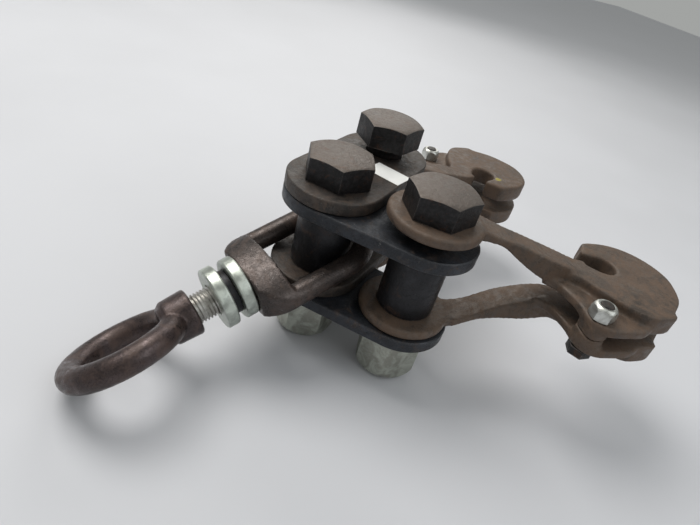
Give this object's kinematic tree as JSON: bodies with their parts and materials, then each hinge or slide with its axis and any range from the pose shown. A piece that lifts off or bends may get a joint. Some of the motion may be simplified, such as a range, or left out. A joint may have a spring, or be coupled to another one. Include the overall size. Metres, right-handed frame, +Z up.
{
  "type": "scissor lifting clamp with swivel eye",
  "caption": "Scissor lifting clamp: two hooked forged arms on plate links round a crown pivot, with a stirrup, washers and a swivel eye nut.",
  "frame": {"origin": "on the crown pivot bolt's axis, on the plane of the pivot nuts' lower ends, which the clamp stands on", "axes": "+Z up along the three pivot bolts, +X from the crown bolt towards the hooks, front arm on the -Y side"},
  "size_m": [0.4344, 0.2998, 0.1691],
  "materials": {
    "front_link_steel": "satin, worn bright at the rims",
    "rear_link_steel": "satin, rubbed and rusty",
    "pivot_bolt_steel": "dull, dark with rust",
    "pivot_nut_steel": "dull",
    "nylon": "matte",
    "spacer_steel": "satin",
    "arm_forging": "rusty forging skin",
    "clamp_bolt_steel": "black oxide",
    "zinc_plate": "satin zinc plate",
    "stirrup_steel": "dark forging skin, worn in places",
    "swivel_bolt_steel": "bright thread",
    "ring_steel": "dark forging skin with rust"
  },
  "bodies": {
    "front_links": {"front_link_lower": "front_link_steel", "front_link_upper": "front_link_steel", "crown_pivot_bolt": "pivot_bolt_steel", "crown_pivot_nut": "pivot_nut_steel", "crown_nut_insert": "nylon", "front_pivot_bolt": "pivot_bolt_steel", "front_pivot_nut": "pivot_nut_steel", "front_nut_insert": "nylon", "front_spacer": "spacer_steel"},
    "rear_links": {"rear_link_lower": "rear_link_steel", "rear_link_upper": "rear_link_steel", "rear_pivot_bolt": "pivot_bolt_steel", "rear_pivot_nut": "pivot_nut_steel", "rear_nut_insert": "nylon", "rear_spacer": "spacer_steel"},
    "front_arm": {"front_arm_upper": "arm_forging", "front_arm_lower": "arm_forging", "front_clamp_bolt": "clamp_bolt_steel", "front_clamp_nut": "zinc_plate", "front_clamp_nut_insert": "nylon"},
    "rear_arm": {"rear_arm_upper": "arm_forging", "rear_arm_lower": "arm_forging", "rear_clamp_bolt": "clamp_bolt_steel", "rear_clamp_nut": "zinc_plate", "rear_clamp_nut_insert": "nylon"},
    "crown_tube": {"crown_spacer": "spacer_steel"},
    "stirrup": {"stirrup": "stirrup_steel", "inner_washer": "zinc_plate"},
    "swivel": {"swivel_bolt": "swivel_bolt_steel", "eye_nut": "ring_steel", "thrust_disc": "spacer_steel"},
    "loose_washer": {"outer_washer": "zinc_plate"}
  },
  "joints": [
    {"name": "link_scissor", "type": "hinge", "parent": "front_links", "child": "rear_links", "pos_m": [0, 0, 0.09], "axis": [0, 0, 1], "range_deg": [-14, 14]},
    {"name": "front_arm_pivot", "type": "hinge", "parent": "front_links", "child": "front_arm", "pos_m": [0.05691, -0.05187, 0.10075], "axis": [0, 0, 1], "range_deg": [-60, 8]},
    {"name": "rear_arm_pivot", "type": "hinge", "parent": "rear_links", "child": "rear_arm", "pos_m": [0.05691, 0.05187, 0.08475], "axis": [0, 0, 1], "range_deg": [-8, 60]},
    {"name": "stirrup_swing", "type": "hinge", "parent": "front_links", "child": "crown_tube", "pos_m": [0, 0, 0.0827], "axis": [0, 0, 1], "range_deg": [-13, 26]},
    {"name": "stirrup_lift", "type": "hinge", "parent": "crown_tube", "child": "stirrup", "pos_m": [0, 0, 0.0827], "axis": [-0.3469, 0.9379, 0], "range_deg": [0, 28]},
    {"name": "eye_swivel", "type": "hinge", "parent": "stirrup", "child": "swivel", "pos_m": [-0.05314, -0.01966, 0.06297], "axis": [-0.8857, -0.3276, -0.3289], "continuous": true},
    {"name": "washer_slide", "type": "slide", "parent": "swivel", "child": "loose_washer", "axis": [-0.8857, -0.3276, -0.3289], "range_m": [0, 0.0148]}
  ]
}
